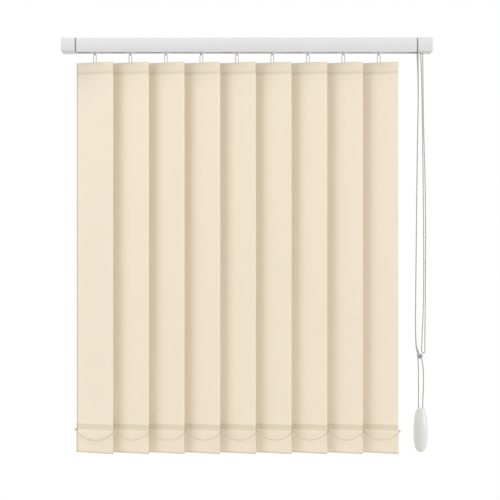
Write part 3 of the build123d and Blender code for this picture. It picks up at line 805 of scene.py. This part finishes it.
def folded_line(thickness):
    """Middle line of the folded strip: up the back, over, down the front, under and up again."""
    edge = POCKET_STAND + thickness / 2
    seam_low = SEAM_Z - TOP_SEAM
    hem_high = HEM_Z + BOTTOM_SEAM
    line = [(SEAM_STAND, seam_low), (SEAM_STAND, SEAM_Z), (POCKET_STAND, SEAM_Z + POCKET_SLOPE)]
    line += fold(VANE_TOP - edge, POCKET_STAND)
    line += [(-POCKET_STAND, SEAM_Z + POCKET_SLOPE), (-SEAM_STAND, SEAM_Z), (-SEAM_STAND, seam_low)]
    line += [(0.0, seam_low - POCKET_SLOPE), (0.0, hem_high + POCKET_SLOPE)]
    line += [(-SEAM_STAND, hem_high), (-SEAM_STAND, HEM_Z), (-POCKET_STAND, HEM_Z - POCKET_SLOPE)]
    line += fold(VANE_FOOT + edge, -POCKET_STAND)
    line += [(POCKET_STAND, HEM_Z - POCKET_SLOPE), (SEAM_STAND, HEM_Z), (SEAM_STAND, hem_high)]
    return [Vector((out, 0.0, height)) for out, height in line]


def divided(line, longest):
    """Line with its longer runs divided, so that cloth can bend along them."""
    points = [line[0]]
    for here, after in zip(line, line[1:]):
        parts = max(1, math.ceil((after - here).length / longest))
        points.extend(here.lerp(after, number / parts) for number in range(1, parts + 1))
    return points


class VaneForm:
    """How one vane's cloth hangs: its own belly and the pull of its seams."""

    def __init__(self, cloth, rng):
        self.sway = cloth.sway
        self.half = cloth.width / 2
        self.waves = [
            (rng.uniform(0.6, 1.6), rng.uniform(0, FULL_TURN), rng.uniform(-1, 1))
            for _ in range(3)
        ]
        self.pull = [rng.uniform(0.3, 1.0) * MM for _ in range(4)]

    def out(self, across, height):
        """How far the cloth stands out, none at its two pockets."""
        share = (VANE_TOP - height) / (VANE_TOP - VANE_FOOT)
        passed = min(1.0, max(0.0, (share - FREE_START) / FREE_SPAN))
        free = max(0.0, math.sin(math.pi * passed))
        belly = 0.0
        for turns, start, lean in self.waves:
            belly += math.sin(FULL_TURN * turns * share + start + lean * across / self.half)
        return self.sway * free * belly / len(self.waves)

    def reach(self, side, height):
        """How far the cloth's edge is from the middle, pulled in a little at each pocket and seam."""
        first, second = self.pull[:2] if side < 0 else self.pull[2:]
        notch = first * math.exp(-(((height - SEAM_Z) / SEAM_PULL_HEIGHT) ** 2))
        hem_notch = HEM_PULL * second * math.exp(-(((height - HEM_Z) / HEM_PULL_HEIGHT) ** 2))
        pocket = POCKET_PULL * first * min(1.0, max(0.0, (height - SEAM_Z) / TOP_POCKET))
        return self.half - notch - hem_notch - pocket


def vane_piece(number, cloth, material, rng):
    """One vane as a strip of cloth folded into a pocket at each end."""
    line = divided(folded_line(cloth.thickness), LONGEST_RUN)
    form = VaneForm(cloth, rng)
    half_thick = cloth.thickness / 2
    rows = []
    places = []
    passed = 0.0
    for spot, point in enumerate(line):
        passed += (point - line[spot - 1]).length if spot else 0.0
        ahead = line[min(spot + 1, len(line) - 1)]
        behind = line[max(spot - 1, 0)]
        forward = (ahead - behind).normalized()
        normal = Vector((forward.z, 0.0, -forward.x))
        ring = []
        for layer in (1, -1):
            columns = range(cloth.columns + 1)
            for column in columns if layer > 0 else reversed(columns):
                share = 2 * column / cloth.columns - 1
                across = share * form.reach(share, point.z)
                skin = point + normal * half_thick * layer
                ring.append(on_vane(number, across, skin.x + form.out(across, point.z), skin.z))
                places.append((across, passed))
        rows.append(ring)
    shape = Shape()
    start = shape.skin(rows, places)
    shape.lids(start, len(rows), len(rows[0]))
    vane = shape.piece(f"cloth_vane_{number}", material)
    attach(vane, f"louvre_{number}")
    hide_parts(f"vane_{number}")
    line_length(line)


# Chains


def sagging(start, end, sag, steps=24):
    """Round arc of chain that hangs between two points at one height."""
    half = (end - start).length / 2
    radius = (half**2 + sag**2) / (2 * sag)
    reach = math.asin(half / radius)
    middle = (start + end) / 2
    forward = (end - start).normalized()
    points = []
    for number in range(steps + 1):
        turn = reach * (2 * number / steps - 1)
        drop = radius * math.cos(turn) - radius + sag
        points.append(middle + forward * radius * math.sin(turn) - Vector((0, 0, drop)))
    return points


def beaded(shape, line, bead, pitch, closed_ends=True):
    """Beads at even steps on a thin thread."""
    shape.tube(line, THREAD_SHARE * bead)
    spots = even_points(line, pitch)
    for spot in spots if closed_ends else spots[1:-1]:
        shape.bead(spot, bead)


def clip_ring(shape, middle, height):
    """Clip that snaps over a knob of the weight plate."""
    bore, rim = CLIP_BORE, CLIP_RADIUS
    rows = []
    for radius, side in ((bore, -1), (rim, -1), (rim, 1), (bore, 1), (bore, -1)):
        level = middle + Vector((0, 0, side * height / 2))
        rows.append(circle(level, X_WAY, Y_WAY, radius, CLIP_SIDES))
    shape.skin(rows)


def chain_clips(number, chains, material):
    """Clips of both chains on one vane."""
    shape = Shape()
    for side in (1, -1):
        clip_ring(shape, on_vane(number, side * KNOB_REACH, 0.0, CLIP_Z), 2 * chains.bottom_bead)
    piece = shape.piece(f"chain_clips_{number}", material)
    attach(piece, f"louvre_{number}")


def bottom_chain(side, chains, material):
    """Bead chain along one edge of all the vanes; side 1 is the room's."""
    shape = Shape()
    knobs = [on_vane(number, side * KNOB_REACH, 0.0, CLIP_Z) for number in NUMBERS]
    away = Vector((0.0, -side * CHAIN_STAND_OFF, 0.0))
    for here, after in zip(knobs, knobs[1:]):
        beaded(shape, sagging(here + away, after + away, CHAIN_SAG), chains.bottom_bead, chains.bottom_pitch)
    edge = "front" if side > 0 else "back"
    piece = shape.piece(f"{edge}_bead_chain", material)
    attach(piece, f"{edge}_chain")
    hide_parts(f"{edge}_bottom_chain")
    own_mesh(piece)


def end_chain(chains, material):
    """Last stretch of bead chain across the first vane."""
    _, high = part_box("vane_1_end_chain")
    height = high[2] - chains.bottom_bead
    away = -KNOB_CLEAR - chains.bottom_bead
    reach = KNOB_REACH - CLIP_RADIUS
    start = on_vane(1, -reach, away, height)
    end = on_vane(1, reach, away, height)
    shape = Shape()
    beaded(shape, sagging(start, end, CHAIN_SAG), chains.bottom_bead, chains.bottom_pitch)
    piece = shape.piece("end_bead_chain", material)
    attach(piece, "louvre_1")
    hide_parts("vane_1_end_chain")


def tilt_chain(chains, material):
    """Bead loop that hangs from the housing, and its run over the sprocket inside."""
    line = smooth_route("tilt_chain_route", TILT_LOOP)
    shape = Shape()
    beaded(shape, even_points(line, TILT_STEP), chains.tilt_bead, chains.tilt_pitch)
    loop = shape.piece("tilt_bead_chain", material)
    low, high = (Vector(corner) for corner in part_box("chain_sprocket"))
    axle = (low + high) / 2
    pitch_radius = SPROCKET_POCKETS * chains.tilt_pitch / FULL_TURN
    below = Vector((0.0, 0.0, -pitch_radius - SPROCKET_RIM))
    turn = []
    for number in range(SPROCKET_STEPS + 1):
        angle = math.pi * number / SPROCKET_STEPS
        turn.append(axle + pitch_radius * Vector((0.0, -math.cos(angle), math.sin(angle))))
    inner_line = [line[0], turn[0] + below] + turn + [turn[-1] + below, line[-1]]
    inner = Shape()
    beaded(inner, inner_line, chains.tilt_bead, chains.tilt_pitch, closed_ends=False)
    run = inner.piece("tilt_bead_chain_inside", material)
    for piece in (loop, run):
        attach(piece, "track")
    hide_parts("tilt_chain")
    line_length(line)


# Draw cord


def twisted(shape, line, cords):
    """Strands laid round each other along a line."""
    strand = STRAND_SHARE * cords.diameter / 2
    away = cords.diameter / 2 - strand
    frames = along(even_points(line, TWIST_STEP))
    step = (frames[1][0] - frames[0][0]).length
    for number in range(STRANDS):
        points = []
        for spot, (point, side, up) in enumerate(frames):
            turn = FULL_TURN * (spot * step / cords.lay + number / STRANDS)
            points.append(point + (side * math.cos(turn) + up * math.sin(turn)) * away)
        shape.tube(points, strand, sides=7)


def knot_line(middle, steps=96):
    """Overhand knot drawn tight, as one closed loop."""
    points = []
    for number in range(steps + 1):
        turn = FULL_TURN * number / steps
        across = math.sin(turn) + 2 * math.sin(2 * turn)
        tall = math.cos(turn) - 2 * math.cos(2 * turn)
        deep = -math.sin(3 * turn)
        points.append(middle + KNOT_SIZE * Vector((across, KNOT_DEPTH * deep, KNOT_HEIGHT * tall)))
    return points


def cord_weight(material):
    """Smooth drop-shaped weight."""
    low, high = Vector(DROP_LOW), Vector(DROP_HIGH)
    middle = (low + high) / 2
    radius = (high.x - low.x) / 2
    length = high.z - low.z
    outline = [Vector((share * radius, 0.0, -depth * length)) for share, depth in DROP_OUTLINE_SHARES]
    rows = []
    for spot in drop_curve(outline):
        level = Vector((middle.x, middle.y, high.z + spot.z))
        rows.append(circle(level, X_WAY, Y_WAY, max(spot.x, DROP_TIP), DROP_SIDES))
    shape = Shape()
    shape.lids(shape.skin(rows), len(rows), DROP_SIDES)
    piece = shape.piece("drop_weight", material, sharp=math.radians(60))
    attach(piece, "track")
    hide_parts("cord_weight")
    return piece


def drop_curve(outline, steps=6):
    """Smooth curve through an outline's points, from its rim to its foot."""
    rim, foot = outline[0], outline[-1]
    before = rim + (rim - outline[1])
    after = Vector((-outline[-2].x, 0.0, outline[-2].z))
    ring = [before] + outline + [after]
    points = [Vector((rim.x - DROP_RIM, 0.0, rim.z))]
    for first, second, third, fourth in zip(ring, ring[1:], ring[2:], ring[3:]):
        for number in range(steps):
            share = number / steps
            pull = (second * 2 + (third - first) * share
                    + (first * 2 - second * 5 + third * 4 - fourth) * share**2
                    + (second * 3 - first - third * 3 + fourth) * share**3)
            points.append(pull / 2)
    return points + [foot]


def draw_cords(cords, material, weight):
    """Both strands of the draw cord, and the knot that gathers them."""
    shape = Shape()
    twisted(shape, knot_line(placed(KNOT_PLACE)), cords)
    knot = shape.piece("draw_cord_knot", material)
    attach(knot, "track")
    strands = (("front", FRONT_STRAND, [weight, knot]), ("rear", REAR_STRAND, [weight]))
    for edge, route, pieces in strands:
        line = smooth_route(f"{edge}_strand_route", route)
        shape = Shape()
        twisted(shape, line, cords)
        strand = shape.piece(f"draw_cord_{edge}_strand", material)
        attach(strand, "track")
        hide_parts(f"draw_cord_{edge}")
        line_length(line)


# Stage


def lamp(name, place, target, size, energy):
    """Soft square lamp at a place, shining at a target."""
    light = bpy.data.lights.new(name, "AREA")
    light.shape = "SQUARE"
    light.size = size
    light.energy = energy
    made = bpy.data.objects.new(name, light)
    made.location = place
    made.rotation_euler = (Vector(target) - Vector(place)).to_track_quat("-Z", "Y").to_euler()
    bpy.context.collection.objects.link(made)


def studio_world(strength):
    """White to the camera, to gloss and through clear pieces, and a plain soft light to the rest."""
    world = bpy.data.worlds.new("studio")
    world.use_nodes = True
    nodes = Nodes(world.node_tree)
    world.node_tree.nodes.clear()
    seen = nodes.node("ShaderNodeLightPath", output="Is Camera Ray")
    gloss = nodes.node("ShaderNodeLightPath", output="Is Glossy Ray")
    through = nodes.node("ShaderNodeLightPath", output="Is Transmission Ray")
    share = nodes.math("MAXIMUM", nodes.math("MAXIMUM", seen, gloss), through)
    soft = nodes.node("ShaderNodeBackground", None, {"Color": WHITE, "Strength": strength})
    clear = nodes.node("ShaderNodeBackground", None, {"Color": WHITE, "Strength": 1.0})
    mixed = nodes.node("ShaderNodeMixShader", None, {0: share, 1: soft, 2: clear})
    nodes.node("ShaderNodeOutputWorld", None, {"Surface": mixed}, None)
    bpy.context.scene.world = world


def floor_piece(colour):
    """Plain pale floor under the blind."""
    finish = Finish("pale_floor")
    grain = finish.noise(scale=40.0)
    finish.set(Base_Color=finish.shaded(colour, 1.0, grain * 0.03), Roughness=0.8)
    shape = Shape()
    near, far = FLOOR_SPAN
    shape.points = [
        Vector((-FLOOR_HALF, near, FLOOR_HEIGHT)),
        Vector((FLOOR_HALF, near, FLOOR_HEIGHT)),
        Vector((FLOOR_HALF, far, FLOOR_HEIGHT)),
        Vector((-FLOOR_HALF, far, FLOOR_HEIGHT)),
    ]
    shape.faces = [(0, 1, 2, 3)]
    return shape.piece("studio_floor", finish.material)


def camera(stage):
    """Level camera in front of the blind."""
    lens = bpy.data.cameras.new("view")
    lens.sensor_width = SENSOR
    lens.lens = stage.focal / PICTURE * SENSOR
    made = bpy.data.objects.new("view", lens)
    made.location = (stage.aim_x, -stage.distance, stage.aim_z)
    made.rotation_euler = (math.pi / 2, 0.0, 0.0)
    bpy.context.collection.objects.link(made)
    bpy.context.scene.camera = made


# Operators


class BLIND_OT_stage(bpy.types.Operator):
    """Sets the floor, the light and the camera"""

    bl_idname = "blind.stage"
    bl_label = "Stage"

    def execute(self, context):
        stage = context.scene.blind_stage
        context.scene.view_settings.view_transform = "Standard"
        studio_world(stage.ambient)
        for name, (place, target, size) in LAMPS.items():
            lamp(name, place, target, size, getattr(stage, name))
        floor_piece(stage.floor)
        camera(stage)
        return {"FINISHED"}


class BLIND_OT_cords(bpy.types.Operator):
    """Hangs the draw cord, its knot and its weight"""

    bl_idname = "blind.cords"
    bl_label = "Draw cord"

    def execute(self, context):
        cords = context.scene.blind_cords
        yarn = yarn_finish("draw_cord_yarn", cords.colour)
        weight = cord_weight(moulded("weight_plastic", cords.weight_colour, roughness=0.22))
        draw_cords(cords, yarn, weight)
        dress(["draw_cord_inner"], yarn)
        return {"FINISHED"}


class BLIND_OT_tilt_chain(bpy.types.Operator):
    """Hangs the bead loop that tilts the vanes"""

    bl_idname = "blind.tilt_chain"
    bl_label = "Tilt chain"

    def execute(self, context):
        chains = context.scene.blind_chains
        tilt_chain(chains, moulded("tilt_bead_plastic", chains.tilt_colour, roughness=0.30))
        return {"FINISHED"}


class BLIND_OT_vanes(bpy.types.Operator):
    """Hangs the cloth vanes on their hooks"""

    bl_idname = "blind.vanes"
    bl_label = "Cloth vanes"

    def execute(self, context):
        cloth = context.scene.blind_cloth
        material = cloth_finish(cloth)
        rng = random.Random(SEED)
        for number in NUMBERS:
            vane_piece(number, cloth, material, rng)
        return {"FINISHED"}


class BLIND_OT_bottom_chains(bpy.types.Operator):
    """Clips the bead chains to the weight plates"""

    bl_idname = "blind.bottom_chains"
    bl_label = "Bottom chains"

    def execute(self, context):
        chains = context.scene.blind_chains
        material = moulded("bottom_bead_plastic", chains.bottom_colour, roughness=0.38)
        for number in NUMBERS:
            chain_clips(number, chains, material)
        for side in (1, -1):
            bottom_chain(side, chains, material)
        # Paler copy of the chain plastic for the end stretch: painted light
        end_chain(chains, moulded("end_bead_plastic", chains.end_painted_light_colour, roughness=0.38))
        return {"FINISHED"}


class BLIND_OT_rail(bpy.types.Operator):
    """Finishes the headrail, its caps and the pieces that run in it"""

    bl_idname = "blind.rail"
    bl_label = "Headrail"

    def execute(self, context):
        rail = context.scene.blind_rail
        gear = moulded("gear_plastic", rail.gear, roughness=0.42)
        cap = moulded("cap_plastic", rail.cap, roughness=0.34, cap=True)
        rows = {
            "worm": gear,
            "carrier": moulded("carrier_plastic", rail.inner, roughness=0.45),
            "stem": moulded("hook_plastic", rail.hook, roughness=0.40),
            "hanger_and_weight": moulded("plate_plastic", rail.plate, roughness=0.45),
        }
        dress(["headrail"], powder_coat("rail_paint", rail.paint))
        dress(["left_end_cap", "right_end_cap"], cap)
        dress(["tilt_rod"], drawn_metal("rod_metal", rail.metal))
        dress(["chain_sprocket", "cord_pulley_front", "cord_pulley_rear"], gear)
        for name, material in rows.items():
            dress([f"{name}_{number}" for number in NUMBERS], material)
        return {"FINISHED"}


class BLIND_PT_panel(bpy.types.Panel):
    """Lists the steps that dress the blind"""

    bl_label = "Vertical blind"
    bl_idname = "BLIND_PT_panel"
    bl_space_type = "VIEW_3D"
    bl_region_type = "UI"
    bl_category = "Blind"

    def draw(self, context):
        for step in STEPS:
            self.layout.operator(step.bl_idname)


GROUPS = {
    "blind_cloth": BlindCloth,
    "blind_chains": BlindChains,
    "blind_cords": BlindCords,
    "blind_rail": BlindRail,
    "blind_stage": BlindStage,
}
STEPS = (
    BLIND_OT_stage,
    BLIND_OT_cords,
    BLIND_OT_tilt_chain,
    BLIND_OT_vanes,
    BLIND_OT_bottom_chains,
    BLIND_OT_rail,
)


def register():
    """Adds the classes and the scene's settings."""
    for cls in (*GROUPS.values(), *STEPS, BLIND_PT_panel):
        bpy.utils.register_class(cls)
    for name, group in GROUPS.items():
        setattr(bpy.types.Scene, name, PointerProperty(type=group))


def unregister():
    """Takes them away again."""
    for name in GROUPS:
        delattr(bpy.types.Scene, name)
    for cls in reversed((*GROUPS.values(), *STEPS, BLIND_PT_panel)):
        bpy.utils.unregister_class(cls)


def main():
    """Dresses the blind step by step."""
    register()
    for step in STEPS:
        group, name = step.bl_idname.split(".")
        getattr(getattr(bpy.ops, group), name)()


if __name__ == "__main__":
    main()
